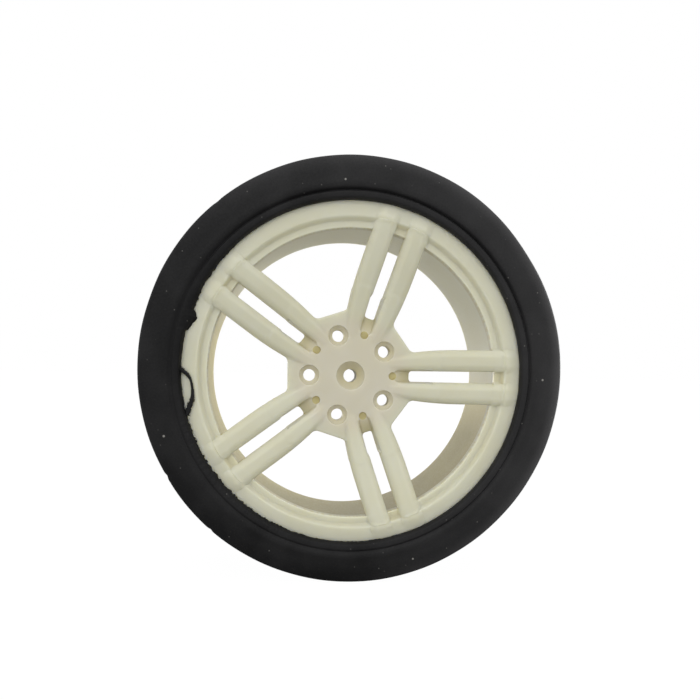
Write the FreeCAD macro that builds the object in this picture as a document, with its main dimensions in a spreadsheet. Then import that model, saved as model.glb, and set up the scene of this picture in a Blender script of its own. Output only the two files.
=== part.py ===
import FreeCAD, Part
import math
import os
import Sketcher

# Robot car wheel: a one-piece moulded rim with five twin spokes, and a slick rubber tyre.
# The wheel's axis is Y, its outer face looks toward -Y, and the origin is the wheel's centre.
doc = FreeCAD.newDocument("robot_car_wheel")
sheet = doc.addObject("Spreadsheet::Sheet", "Sizes")

SIZES = {
    # Tyre
    "tyre_diameter": 65.0,
    "tyre_width": 26.0,
    "shoulder_round": 1.6,
    "sidewall_height": 6.6,
    "crease_offset": 1.55,
    "crease_width": 0.35,
    "crease_depth": 0.55,
    "bead_edge": 0.35,
    "bead_drop": 0.2,
    "fit_gap": 0.03,
    # Rim ring
    "face_inset": 1.1,
    "bead_hook": 0.9,
    "flange_height": 1.7,
    "flange_rim": 1.0,
    "flange_fall": 0.5,
    "lip_width": 2.25,
    "lip_flat": 1.2,
    "seat_slope": 0.8,
    "step_depth": 0.85,
    "ledge_width": 1.6,
    "ledge_thick": 1.5,
    "barrel_wall": 1.6,
    "mouth_wall": 1.2,
    "mouth_length": 5.0,
    # Hub
    "hub_recess": 3.7,
    "hub_thick": 3.2,
    "hub_flat": 10.0,
    "corner_round": 1.1,
    "screw_bore": 2.1,
    "head_bore": 4.45,
    "head_depth": 0.7,
    "head_cone": 1.3,
    "lug_circle": 13.1,
    "lug_bore": 1.9,
    "lug_sink": 3.2,
    "lug_sink_depth": 1.0,
    "dimple_circle": 13.4,
    "dimple_bore": 1.2,
    "dimple_depth": 0.8,
    "boss_diameter": 10.4,
    "boss_length": 10.4,
    "boss_chamfer": 0.5,
    "shaft_diameter": 5.4,
    "shaft_flats": 3.7,
    "shaft_depth": 8.0,
    # Spokes
    "pair_count": 5,
    "slot_root": 9.5,
    "slot_start": 1.7,
    "slot_end": 1.84,
    "slot_round": 0.5,
    "pair_start": 7.5,
    "pair_middle": 8.5,
    "pair_end": 8.4,
    "ridge_share": 0.42,
    "ridge_start": 6.4,
    "bevel_height": 0.7,
    "spoke_rise": 0.45,
    "spoke_run_out": 1.7,
    "spoke_thick": 3.0,
    "trough_start": 6.9,
    "trough_width": 1.9,
    "trough_depth": 1.3,
}
for row, (alias, number) in enumerate(SIZES.items(), 1):
    sheet.set(f"A{row}", alias)
    sheet.set(f"B{row}", str(number))
    sheet.setAlias(f"B{row}", alias)
doc.recompute()

# Places worked out from the sizes. The front of the wheel has negative heights along Y.
OPENING = "(Sizes.tyre_diameter / 2 - Sizes.sidewall_height)"
FLANGE = f"({OPENING} + Sizes.bead_hook)"
SEAT = f"({FLANGE} - Sizes.flange_height)"
STEP = f"({OPENING} - Sizes.lip_width)"
CREST = f"({STEP} + Sizes.lip_flat)"
LEDGE_EDGE = f"({STEP} - Sizes.ledge_width)"
BACK = "(Sizes.tyre_width / 2 - Sizes.face_inset)"
FRONT = f"(-{BACK})"
SHOULDER = f"({BACK} - Sizes.flange_fall)"
GROOVE = f"({SHOULDER} - Sizes.flange_rim)"
LEDGE = f"({FRONT} + Sizes.step_depth)"
HUB_FACE = f"({FRONT} + Sizes.hub_recess)"
HUB_BACK = f"({HUB_FACE} + Sizes.hub_thick)"
BOSS_BACK = f"({HUB_BACK} + Sizes.boss_length)"
SHAFT_END = f"({BOSS_BACK} - Sizes.shaft_depth)"
FULL_TURN = 360
# Half the angle between the middle lines of two neighbouring pairs of spokes.
HALF_PITCH = "(180 deg / Sizes.pair_count)"


def value(expression):
    """Work out an expression of the sheet's sizes."""
    return float(sheet.evalExpression(expression))


def origin_part(body, role):
    """Find one of a body's own origin planes or axes."""
    for feature in body.Origin.OriginFeatures:
        if feature.Role == role:
            return feature
    raise RuntimeError("no origin part " + role)


def new_body(name):
    """Make a body whose label names its file."""
    body = doc.addObject("PartDesign::Body", name)
    body.Label = name
    body.Placement = FreeCAD.Placement()
    return body


def new_sketch(body, name, plane, lift=None):
    """Attach a sketch to an origin plane, lifted off it along its normal."""
    sketch = body.newObject("Sketcher::SketchObject", name)
    sketch.AttachmentSupport = (origin_part(body, plane), [""])
    sketch.MapMode = "FlatFace"
    if lift is not None:
        sketch.setExpression("AttachmentOffset.Base.z", lift)
    return sketch


def bind(sketch, kind, places, expression):
    """Add one measured constraint and tie it to its expression."""
    index = sketch.addConstraint(Sketcher.Constraint(kind, *places, value(expression)))
    sketch.setExpression(f"Constraints[{index}]", expression)


def arc_between(start, end, radius, bulge):
    """Arc from start to end, bulging to the left of the way when bulge is 1, right when -1."""
    way = end - start
    half = way.Length / 2
    left = FreeCAD.Vector(-way.y, way.x, 0)
    left.normalize()
    drop = math.sqrt(max(radius * radius - half * half, 0.0))
    centre = (start + end) * 0.5 - left * (bulge * drop)
    first, last = (end, start) if bulge > 0 else (start, end)
    angles = [math.atan2(point.y - centre.y, point.x - centre.x) for point in (first, last)]
    return Part.ArcOfCircle(Part.Circle(centre, FreeCAD.Vector(0, 0, 1), radius), *angles)


def outline(sketch, corners, arcs=None):
    """Draw a closed outline through corners, each a pair of expressions.

    An entry of arcs turns the edge after that corner into an arc, given as
    its radius and the side to which it bulges.
    """
    arcs = arcs or {}
    points = [FreeCAD.Vector(value(across), value(along), 0) for across, along in corners]
    ends = []
    for index, start in enumerate(points):
        end = points[(index + 1) % len(points)]
        if index in arcs:
            radius, bulge = arcs[index]
            edge = sketch.addGeometry(arc_between(start, end, value(radius), bulge), False)
            ends.append((edge, 2, 1) if bulge > 0 else (edge, 1, 2))
        else:
            edge = sketch.addGeometry(Part.LineSegment(start, end), False)
            ends.append((edge, 1, 2))
    for index, (edge, first, last) in enumerate(ends):
        following = ends[(index + 1) % len(ends)]
        sketch.addConstraint(Sketcher.Constraint("Coincident", edge, last, following[0], following[1]))
        bind(sketch, "DistanceX", (-1, 1, edge, first), corners[index][0])
        bind(sketch, "DistanceY", (-1, 1, edge, first), corners[index][1])
        if index in arcs:
            bind(sketch, "Radius", (edge,), arcs[index][0])


def circle(sketch, across, along, radius):
    """Draw a circle whose centre and radius are tied to expressions."""
    centre = FreeCAD.Vector(value(across), value(along), 0)
    edge = sketch.addGeometry(Part.Circle(centre, FreeCAD.Vector(0, 0, 1), value(radius)), False)
    bind(sketch, "DistanceX", (-1, 1, edge, 3), across)
    bind(sketch, "DistanceY", (-1, 1, edge, 3), along)
    bind(sketch, "Radius", (edge,), radius)


def turned(body, name, kind, corners, arcs=None):
    """Turn a closed outline of (radius, height) corners about the wheel's axis."""
    sketch = new_sketch(body, name + "_profile", "XY_Plane")
    outline(sketch, corners, arcs)
    turn = body.newObject(kind, name)
    turn.Profile = sketch
    turn.ReferenceAxis = (origin_part(body, "Y_Axis"), [""])
    turn.Angle = FULL_TURN
    return turn


def lofted(body, name, kind, sections):
    """Skin a solid, or a cut, through sections in their order."""
    loft = body.newObject(kind, name)
    loft.Profile = sections[0]
    loft.Sections = sections[1:]
    loft.Ruled = False
    return loft


def around(body, name, originals):
    """Repeat features around the wheel's axis, once for each pair of spokes."""
    doc.recompute()
    pattern = body.newObject("PartDesign::PolarPattern", name)
    pattern.Originals = originals
    pattern.Axis = (origin_part(body, "Y_Axis"), [""])
    pattern.Angle = FULL_TURN
    pattern.setExpression("Occurrences", "Sizes.pair_count")
    body.Tip = pattern
    return pattern


def rim_ring(body):
    """Barrel with its two flanges, the front lip, and the ledge sunk inside the lip."""
    slope = f"({GROOVE} - Sizes.seat_slope)"
    bore = f"({SEAT} - Sizes.barrel_wall)"
    mouth = f"({SEAT} - Sizes.mouth_wall)"
    mouth_floor = f"({BACK} - Sizes.mouth_length)"
    under_ledge = f"({LEDGE} + Sizes.ledge_thick)"
    return turned(body, "ring", "PartDesign::Revolution", [
        (LEDGE_EDGE, LEDGE),
        (STEP, LEDGE),
        (STEP, FRONT),
        (CREST, FRONT),
        (FLANGE, f"-{SHOULDER}"),
        (FLANGE, f"-{GROOVE}"),
        (SEAT, f"-{slope}"),
        (SEAT, slope),
        (FLANGE, GROOVE),
        (FLANGE, SHOULDER),
        (CREST, BACK),
        (mouth, BACK),
        (mouth, mouth_floor),
        (bore, f"{mouth_floor} - ({mouth} - {bore})"),
        (bore, f"{under_ledge} + ({bore} - {LEDGE_EDGE})"),
        (LEDGE_EDGE, under_ledge),
    ])


def hub_boss(body):
    """Boss behind the hub, which takes the motor's shaft."""
    wall = "Sizes.boss_diameter / 2"
    root = f"{HUB_FACE} + Sizes.hub_thick / 2"
    return turned(body, "boss", "PartDesign::Revolution", [
        ("0", root),
        (wall, root),
        (wall, f"{BOSS_BACK} - Sizes.boss_chamfer"),
        (f"{wall} - Sizes.boss_chamfer", BOSS_BACK),
        ("0", BOSS_BACK),
    ])


def hub_sector(body):
    """One sector of the hub plate: half a flat on each side, and the root of a pair of spokes.

    The flat's corner with the spoke is rounded. With h half the angle between
    two pairs, the flat lies at a distance a from the axis, square to the way
    that is h off the pair, and the pair's side lies w off its middle line.
    """
    cosine = f"cos({HALF_PITCH})"
    sine = f"sin({HALF_PITCH})"
    side = "Sizes.pair_start / 2"
    reach = "(Sizes.slot_root + 3.5 * Sizes.corner_round)"
    # The round's centre lies one radius off the flat and one radius off the side.
    middle_z = f"({side} + Sizes.corner_round)"
    middle_x = f"((Sizes.hub_flat + Sizes.corner_round - {middle_z} * {sine}) / {cosine})"
    flat_x = f"({middle_x} - Sizes.corner_round * {cosine})"
    flat_z = f"({middle_z} - Sizes.corner_round * {sine})"
    sketch = new_sketch(body, "sector_outline", "XZ_Plane", f"-{HUB_BACK}")
    outline(sketch, [
        ("0", "0"),
        (f"Sizes.hub_flat * {cosine}", f"-Sizes.hub_flat * {sine}"),
        (flat_x, f"-{flat_z}"),
        (middle_x, f"-{side}"),
        (reach, f"-{side}"),
        (reach, side),
        (middle_x, side),
        (flat_x, flat_z),
        (f"Sizes.hub_flat * {cosine}", f"Sizes.hub_flat * {sine}"),
    ], {2: ("Sizes.corner_round", 1), 6: ("Sizes.corner_round", 1)})
    pad = body.newObject("PartDesign::Pad", "sector")
    pad.Profile = sketch
    pad.setExpression("Length", "Sizes.hub_thick")
    return pad


def spoke_section(body, name, side, place, inner, outer, back, top, bevel):
    """One cross-section of a spoke: straight sides, two bevels and a ridge along the middle."""
    sign = "" if side > 0 else "-"
    margin = f"(({outer}) - ({inner})) * (1 - Sizes.ridge_share) / 2"
    near = f"{inner} + {margin}"
    far = f"{outer} - {margin}"
    low = f"{top} + {bevel}"
    sketch = new_sketch(body, name, "YZ_Plane", place)
    outline(sketch, [
        (back, f"{sign}({inner})"),
        (low, f"{sign}({inner})"),
        (top, f"{sign}({near})"),
        (top, f"{sign}({far})"),
        (low, f"{sign}({outer})"),
        (back, f"{sign}({outer})"),
    ])
    return sketch


def spoke(body, name, side):
    """One spoke of a pair: it rises out of the hub, bows outward and runs into the lip."""
    rim_top = f"({FRONT} - Sizes.spoke_rise)"
    rim_back = f"({rim_top} + Sizes.spoke_thick)"
    run = f"({STEP} - Sizes.ridge_start)"
    climb = f"({rim_top} - {HUB_FACE})"
    drop = f"({rim_back} - {HUB_BACK})"
    under_lip = f"{FRONT} + Sizes.flange_fall + Sizes.flange_rim / 2"
    hub_slot = "Sizes.slot_start"
    rim_slot = "Sizes.slot_end"
    # Each station: its place along the pair, its share of the climb, the slot and the pair there.
    stations = [
        ("start", "0", 0.0, hub_slot, "Sizes.pair_start - 0.9 * Sizes.bevel_height"),
        ("root", f"0.22 * {run}", 0.17, hub_slot, "Sizes.pair_start"),
        ("middle", f"0.55 * {run}", 0.58, hub_slot, "Sizes.pair_middle"),
        ("outer", f"0.85 * {run}", 0.92, rim_slot, "Sizes.pair_end"),
        ("step", run, 1.0, rim_slot, "Sizes.pair_end"),
        ("end", f"{run} + Sizes.spoke_run_out", 0.9, rim_slot,
         "Sizes.pair_end - 2 * Sizes.bevel_height"),
    ]
    sections = []
    for label, place, share, slot, pair in stations:
        top = f"({HUB_FACE} + {share} * {climb})"
        back = f"({HUB_BACK} + {share} * {drop})" if label != "end" else under_lip
        bevel = "0.3 * Sizes.bevel_height" if label == "start" else "Sizes.bevel_height"
        sections.append(spoke_section(body, f"{name}_{label}", side, f"Sizes.ridge_start + {place}",
                                      f"{slot} / 2", f"({pair}) / 2", back, top, bevel))
    return lofted(body, name, "PartDesign::AdditiveLoft", sections)


def slot_cut(body):
    """Slot between the two spokes of a pair, where it starts in the hub plate."""
    half = "Sizes.slot_start / 2"
    turn = "Sizes.slot_root + Sizes.slot_round"
    reach = "Sizes.slot_root + 4 * Sizes.corner_round"
    sketch = new_sketch(body, "slot_outline", "XZ_Plane")
    outline(sketch, [
        (reach, f"-{half}"),
        (reach, half),
        (turn, half),
        ("Sizes.slot_root", f"{half} - Sizes.slot_round"),
        ("Sizes.slot_root", f"-{half} + Sizes.slot_round"),
        (turn, f"-{half}"),
    ], {2: ("Sizes.slot_round", -1), 4: ("Sizes.slot_round", -1)})
    cut = body.newObject("PartDesign::Pocket", "slot")
    cut.Profile = sketch
    cut.Type = "ThroughAll"
    cut.Midplane = True
    return cut


def trough_cut(body):
    """Round-bottomed trough that sinks from the dimple to the slot."""
    bottom = "Sizes.trough_width / 2"
    high = new_sketch(body, "trough_high", "YZ_Plane", "Sizes.trough_start")
    circle(high, f"{HUB_FACE} - {bottom}", "0", bottom)
    low = new_sketch(body, "trough_low", "YZ_Plane", "Sizes.slot_root + Sizes.slot_round")
    circle(low, f"{HUB_FACE} - {bottom} + Sizes.trough_depth", "0", bottom)
    return lofted(body, "trough", "PartDesign::SubtractiveLoft", [high, low])


def dimple_cut(body):
    """Blind dimple on the middle line of a pair."""
    sketch = new_sketch(body, "dimple_outline", "XZ_Plane", f"-{HUB_FACE}")
    circle(sketch, "Sizes.dimple_circle / 2", "0", "Sizes.dimple_bore / 2")
    cut = body.newObject("PartDesign::Pocket", "dimple")
    cut.Profile = sketch
    cut.setExpression("Length", "Sizes.dimple_depth")
    return cut


def lug_cuts(body):
    """Countersunk hole half-way between two pairs of spokes."""
    across = f"Sizes.lug_circle / 2 * cos({HALF_PITCH})"
    along = f"Sizes.lug_circle / 2 * sin({HALF_PITCH})"
    hole = new_sketch(body, "lug_outline", "XZ_Plane", f"-{HUB_FACE}")
    circle(hole, across, along, "Sizes.lug_bore / 2")
    cut = body.newObject("PartDesign::Pocket", "lug_hole")
    cut.Profile = hole
    cut.setExpression("Length", "2 * Sizes.hub_thick")
    mouth = new_sketch(body, "lug_mouth", "XZ_Plane", f"-{HUB_FACE}")
    circle(mouth, across, along, "Sizes.lug_sink / 2")
    floor = new_sketch(body, "lug_floor", "XZ_Plane", f"-{HUB_FACE} - Sizes.lug_sink_depth")
    circle(floor, across, along, "Sizes.lug_bore / 2")
    return [cut, lofted(body, "lug_sink_cut", "PartDesign::SubtractiveLoft", [mouth, floor])]


def screw_cut(body):
    """Centre screw hole with the recess for the screw's head."""
    head = "Sizes.head_bore / 2"
    hole = "Sizes.screw_bore / 2"
    clear = f"{HUB_FACE} - Sizes.spoke_rise"
    floor = f"{HUB_FACE} + Sizes.head_depth"
    inner_end = f"{SHAFT_END} + Sizes.shaft_depth / 2"
    return turned(body, "screw_hole", "PartDesign::Groove", [
        ("0", clear),
        (head, clear),
        (head, floor),
        (hole, f"{floor} + Sizes.head_cone"),
        (hole, inner_end),
        ("0", inner_end),
    ])


def shaft_cut(body):
    """Socket for the motor's shaft: round, with two flats."""
    flat = "Sizes.shaft_flats / 2"
    reach = "sqrt((Sizes.shaft_diameter / 2)^2 - (Sizes.shaft_flats / 2)^2)"
    sketch = new_sketch(body, "shaft_outline", "XZ_Plane", f"-{BOSS_BACK}")
    outline(sketch, [
        (f"-{reach}", f"-{flat}"),
        (reach, f"-{flat}"),
        (reach, flat),
        (f"-{reach}", flat),
    ], {1: ("Sizes.shaft_diameter / 2", -1), 3: ("Sizes.shaft_diameter / 2", -1)})
    cut = body.newObject("PartDesign::Pocket", "shaft_socket")
    cut.Profile = sketch
    cut.Reversed = True
    cut.setExpression("Length", "Sizes.shaft_depth")
    return cut


def make_rim():
    """The moulded rim: ring, hub and spokes are one solid."""
    body = new_body("rim")
    rim_ring(body)
    hub_boss(body)
    sector = hub_sector(body)
    spokes = [spoke(body, "spoke_above", 1), spoke(body, "spoke_below", -1)]
    around(body, "spider", [sector] + spokes)
    cuts = [slot_cut(body), trough_cut(body), dimple_cut(body)] + lug_cuts(body)
    around(body, "hub_cuts", cuts)
    body.Tip = screw_cut(body)
    body.Tip = shaft_cut(body)
    return body


def make_tyre():
    """The rubber tyre: a channel that sits on the barrel and hooks over both flanges."""
    body = new_body("tyre")
    tread = "Sizes.tyre_diameter / 2"
    face = "Sizes.tyre_width / 2"
    crease = f"({OPENING} + Sizes.crease_offset)"
    # Height of the flange's sloping face where the bead's edge lies on it.
    fall = f"Sizes.flange_fall * ({OPENING} - {CREST}) / ({FLANGE} - {CREST})"
    on_flange = f"({BACK} - {fall})"
    half = [
        (f"{SEAT} + Sizes.fit_gap", f"{GROOVE} - Sizes.seat_slope"),
        (f"{FLANGE} + Sizes.fit_gap", GROOVE),
        (f"{FLANGE} + Sizes.fit_gap", f"{SHOULDER} + Sizes.fit_gap"),
        (OPENING, f"{on_flange} + Sizes.fit_gap"),
        (OPENING, f"{on_flange} + Sizes.bead_edge"),
        (f"{OPENING} + Sizes.bead_edge", f"{face} - Sizes.bead_drop"),
        (f"{crease} - Sizes.crease_width", f"{face} - Sizes.bead_drop"),
        (crease, f"{face} - Sizes.crease_depth"),
        (f"{crease} + Sizes.crease_width", face),
        (f"{tread} - Sizes.shoulder_round", face),
        (tread, f"{face} - Sizes.shoulder_round"),
    ]
    corners = [(radius, f"-({height})") for radius, height in half]
    corners += list(reversed(half))
    last = len(half) - 1
    turned(body, "band", "PartDesign::Revolution", corners,
           {last - 1: ("Sizes.shoulder_round", -1), last + 1: ("Sizes.shoulder_round", -1)})
    return body


def check_document():
    """Stop when any object of the document failed."""
    doc.recompute()
    for thing in doc.Objects:
        if "Invalid" in thing.State or "Error" in thing.State:
            raise RuntimeError("failed object: " + thing.Name)


def export(bodies):
    """Check each body and write its own file."""
    for body in bodies:
        shape = body.Shape
        if shape.isNull() or not shape.isValid() or len(shape.Solids) != 1:
            raise RuntimeError("bad shape: " + body.Label)
        print(body.Label, "volume", round(shape.Volume, 1), "faces", len(shape.Faces))
    os.makedirs("parts", exist_ok=True)
    for body in bodies:
        body.Shape.exportStep(f"parts/{body.Label}.step")


parts = [make_rim(), make_tyre()]
check_document()
export(parts)
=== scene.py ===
"""Looks of a robot car wheel: an ivory moulded rim with five twin spokes in a slick black tyre.

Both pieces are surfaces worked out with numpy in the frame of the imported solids. The wheel's axis
is Y, its outer face looks toward -Y, and its middle is the origin. Sizes are in millimetres.
"""

import logging
import math
from dataclasses import dataclass
from enum import Enum

import bmesh
import bpy
import numpy as np
from mathutils import Matrix, Vector
from mathutils.geometry import delaunay_2d_cdt


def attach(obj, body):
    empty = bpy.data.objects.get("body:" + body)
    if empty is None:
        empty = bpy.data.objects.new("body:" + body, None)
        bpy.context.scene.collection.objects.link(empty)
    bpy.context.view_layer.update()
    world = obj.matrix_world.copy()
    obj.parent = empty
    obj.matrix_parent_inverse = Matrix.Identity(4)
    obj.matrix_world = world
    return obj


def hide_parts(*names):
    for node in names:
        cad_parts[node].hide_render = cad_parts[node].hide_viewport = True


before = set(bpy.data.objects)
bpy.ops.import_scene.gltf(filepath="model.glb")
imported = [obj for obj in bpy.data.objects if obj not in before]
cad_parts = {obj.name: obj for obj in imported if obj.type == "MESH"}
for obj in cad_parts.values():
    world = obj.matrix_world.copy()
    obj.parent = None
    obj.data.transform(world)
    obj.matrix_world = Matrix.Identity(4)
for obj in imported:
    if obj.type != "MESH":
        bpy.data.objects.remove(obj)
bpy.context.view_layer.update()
MM = 0.001
LOG = logging.getLogger("robot_car_wheel")


class Look(Enum):
    """Names of record slots for the two finishes; nothing in this script uses them."""

    PLASTIC = "rim_plastic"
    RUBBER = "tyre_rubber"


@dataclass
class Shell:
    """A closed mesh under construction: points in millimetres, faces, and a painted light-and-shade value
    per point.
    """

    points: np.ndarray
    faces: list
    shade: np.ndarray


def smooth_step(value: np.ndarray, low: float, high: float) -> np.ndarray:
    """Rise from 0 to 1 between low and high along the cubic 3t^2 - 2t^3.

    Args:
        value: Where the curve is read.
        low: Where it leaves 0.
        high: Where it reaches 1.

    Returns:
        The curve's height at each value.
    """
    share = np.clip((value - low) / (high - low), 0.0, 1.0)
    return share * share * (3.0 - 2.0 * share)


def soft_max(first: np.ndarray, second: np.ndarray, width: float | np.ndarray) -> np.ndarray:
    """Larger of two heights, with the join filled where they are less than width apart.

    Args:
        first: One height.
        second: The other height.
        width: Difference in height over which the two blend.

    Returns:
        Their blended maximum: the mix of both plus width * h * (1 - h), with h the mix's share.
    """
    share = np.clip(0.5 + 0.5 * (first - second) / width, 0.0, 1.0)
    return second + (first - second) * share + width * share * (1.0 - share)


def soft_min(first: np.ndarray, second: np.ndarray, width: float | np.ndarray) -> np.ndarray:
    """Smaller of two heights, blended like soft_max.

    Args:
        first: One height.
        second: The other height.
        width: Difference in height over which the two blend.

    Returns:
        Their blended minimum.
    """
    return -soft_max(-first, -second, width)


def resample(points: np.ndarray, spacing: float) -> np.ndarray:
    """Spread points evenly along an open line of straight runs.

    Args:
        points: The line's corners, one row each.
        spacing: Wanted distance between neighbours.

    Returns:
        Points at equal arc length, with both ends kept.
    """
    steps = np.hypot(*np.diff(points, axis=0).T)
    length = np.concatenate([[0.0], np.cumsum(steps)])
    count = max(int(round(length[-1] / spacing)), 1) + 1
    places = np.linspace(0.0, length[-1], count)
    return np.stack([np.interp(places, length, points[:, axis]) for axis in range(2)], axis=1)


def arc(centre: tuple[float, float], radius: float, start: float, end: float, spacing: float) -> np.ndarray:
    """Points on a circle: centre + radius * (cos a, sin a), with a from start to end in degrees.

    Args:
        centre: The circle's middle.
        radius: The circle's radius.
        start: First angle in degrees.
        end: Last angle in degrees.
        spacing: Wanted distance between neighbours.

    Returns:
        The points, one row each.
    """
    count = max(int(round(abs(math.radians(end - start)) * radius / spacing)), 3) + 1
    angles = np.radians(np.linspace(start, end, count))
    return np.stack([centre[0] + radius * np.cos(angles), centre[1] + radius * np.sin(angles)], axis=1)


def distance_to(points: np.ndarray, line: np.ndarray) -> np.ndarray:
    """Shortest distance from each point to a line of straight runs.

    Args:
        points: Points, one row each.
        line: The line's corners, one row each.

    Returns:
        Each point's distance to the nearest run, by its projection clamped to the run's ends.
    """
    start, run = line[:-1], np.diff(line, axis=0)
    offset = points[:, None, :] - start[None, :, :]
    share = np.clip((offset * run).sum(2) / np.maximum((run * run).sum(1), 1e-12), 0.0, 1.0)
    gap = offset - share[:, :, None] * run[None, :, :]
    return np.sqrt((gap * gap).sum(2)).min(1)


def inside(points: np.ndarray, outline: np.ndarray) -> np.ndarray:
    """Tell which points lie in a closed outline, by counting the edges a ray crosses.

    Args:
        points: Points, one row each.
        outline: The outline's corners in order.

    Returns:
        True for each point inside.
    """
    x, z = points[:, 0:1], points[:, 1:2]
    start, end = outline, np.roll(outline, -1, axis=0)
    crosses = (start[:, 1] > z) != (end[:, 1] > z)
    rise = np.where(end[:, 1] == start[:, 1], 1e-12, end[:, 1] - start[:, 1])
    reach = start[:, 0] + (z - start[:, 1]) / rise * (end[:, 0] - start[:, 0])
    return (crosses & (x < reach)).sum(1) % 2 == 1


def rounded(corners: list, steps: int = 5) -> np.ndarray:
    """Round a closed outline's corners with parabolas that leave both edges tangentially.

    Args:
        corners: (across, along, radius) of each corner; a radius of 0 keeps it sharp.
        steps: Points on each rounded corner.

    Returns:
        The outline's points. Each round is (1-t)^2 A + 2t(1-t) P + t^2 B about its corner P.
    """
    out = []
    for index, (across, along, radius) in enumerate(corners):
        corner = np.array([across, along])
        if radius == 0:
            out.append(corner[None])
            continue
        ends = []
        for other in (corners[index - 1], corners[(index + 1) % len(corners)]):
            way = np.array(other[:2]) - corner
            length = float(np.hypot(*way))
            ends.append(corner + way / length * min(radius, 0.45 * length))
        share = np.linspace(0.0, 1.0, steps)[:, None]
        out.append((1 - share) ** 2 * ends[0] + 2 * share * (1 - share) * corner + share ** 2 * ends[1])
    return np.concatenate(out)


def torus_faces(rings: int, around: int) -> np.ndarray:
    """Four-sided faces of a grid that closes both ways.

    Args:
        rings: Number of rows.
        around: Number of points in a row.

    Returns:
        Corner indices, one row a face.
    """
    row = np.arange(rings)[:, None] * around
    following = (np.arange(rings)[:, None] + 1) % rings * around
    column = np.arange(around)[None, :]
    after = (column + 1) % around
    return np.stack([row + column, row + after, following + after, following + column], 2).reshape(-1, 4)


def turned(profile: np.ndarray, count: int) -> np.ndarray:
    """Turn a closed (radius, height) outline about the Y axis: (r cos a, height, r sin a).

    Args:
        profile: The outline's points.
        count: Number of copies of it around the axis.

    Returns:
        Points, copy by copy.
    """
    angle = np.linspace(0.0, 2.0 * math.pi, count, endpoint=False)[:, None]
    radius, height = profile[None, :, 0], profile[None, :, 1]
    grid = [radius * np.cos(angle), height + 0.0 * angle, radius * np.sin(angle)]
    return np.stack(grid, 2).reshape(-1, 3)


def signed_volume(points: np.ndarray, faces: np.ndarray) -> float:
    """Volume inside a closed mesh, negative where its faces point inward.

    Args:
        points: Mesh points.
        faces: Corner indices with three or four corners a face.

    Returns:
        A sixth of the sum of each triangle's triple product.
    """
    corner = [points[faces[:, index]] for index in range(faces.shape[1])]
    total = np.einsum("ij,ij->i", corner[0], np.cross(corner[1], corner[2])).sum()
    if len(corner) == 4:
        total += np.einsum("ij,ij->i", corner[0], np.cross(corner[2], corner[3])).sum()
    return float(total) / 6.0


def outward(points: np.ndarray, faces: np.ndarray) -> np.ndarray:
    """Turn every face of a closed mesh outward.

    Args:
        points: Mesh points.
        faces: Corner indices.

    Returns:
        The faces, reversed if the mesh was inside out.
    """
    return faces if signed_volume(points, faces) > 0 else faces[:, ::-1]


def make_object(name: str, shells: list[Shell], sharp_angle: float, merge: float = 0.0) -> bpy.types.Object:
    """Join shells into one mesh object at the origin.

    Args:
        name: The object's name.
        shells: Closed meshes in millimetres.
        sharp_angle: Edges sharper than this, in degrees, keep a crease.
        merge: Distance in millimetres under which doubled points are merged.

    Returns:
        The object, smooth-shaded, with the points' painted light and shade in the attribute "shade".
    """
    points = np.concatenate([shell.points for shell in shells]) * MM
    shade = np.concatenate([shell.shade for shell in shells])
    faces, base = [], 0
    for shell in shells:
        for group in shell.faces:
            faces.extend((group + base).tolist())
        base += len(shell.points)
    mesh = bpy.data.meshes.new(name)
    mesh.from_pydata(points.tolist(), [], faces)
    attribute = mesh.attributes.new("shade", "FLOAT", "POINT")
    attribute.data.foreach_set("value", shade.astype(np.float32))
    if merge > 0.0:
        work = bmesh.new()
        work.from_mesh(mesh)
        bmesh.ops.remove_doubles(work, verts=work.verts, dist=merge * MM)
        work.to_mesh(mesh)
        work.free()
    mesh.shade_smooth()
    mesh.set_sharp_from_angle(angle=math.radians(sharp_angle))
    mesh.update()
    piece = bpy.data.objects.new(name, mesh)
    bpy.context.scene.collection.objects.link(piece)
    return piece


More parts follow.
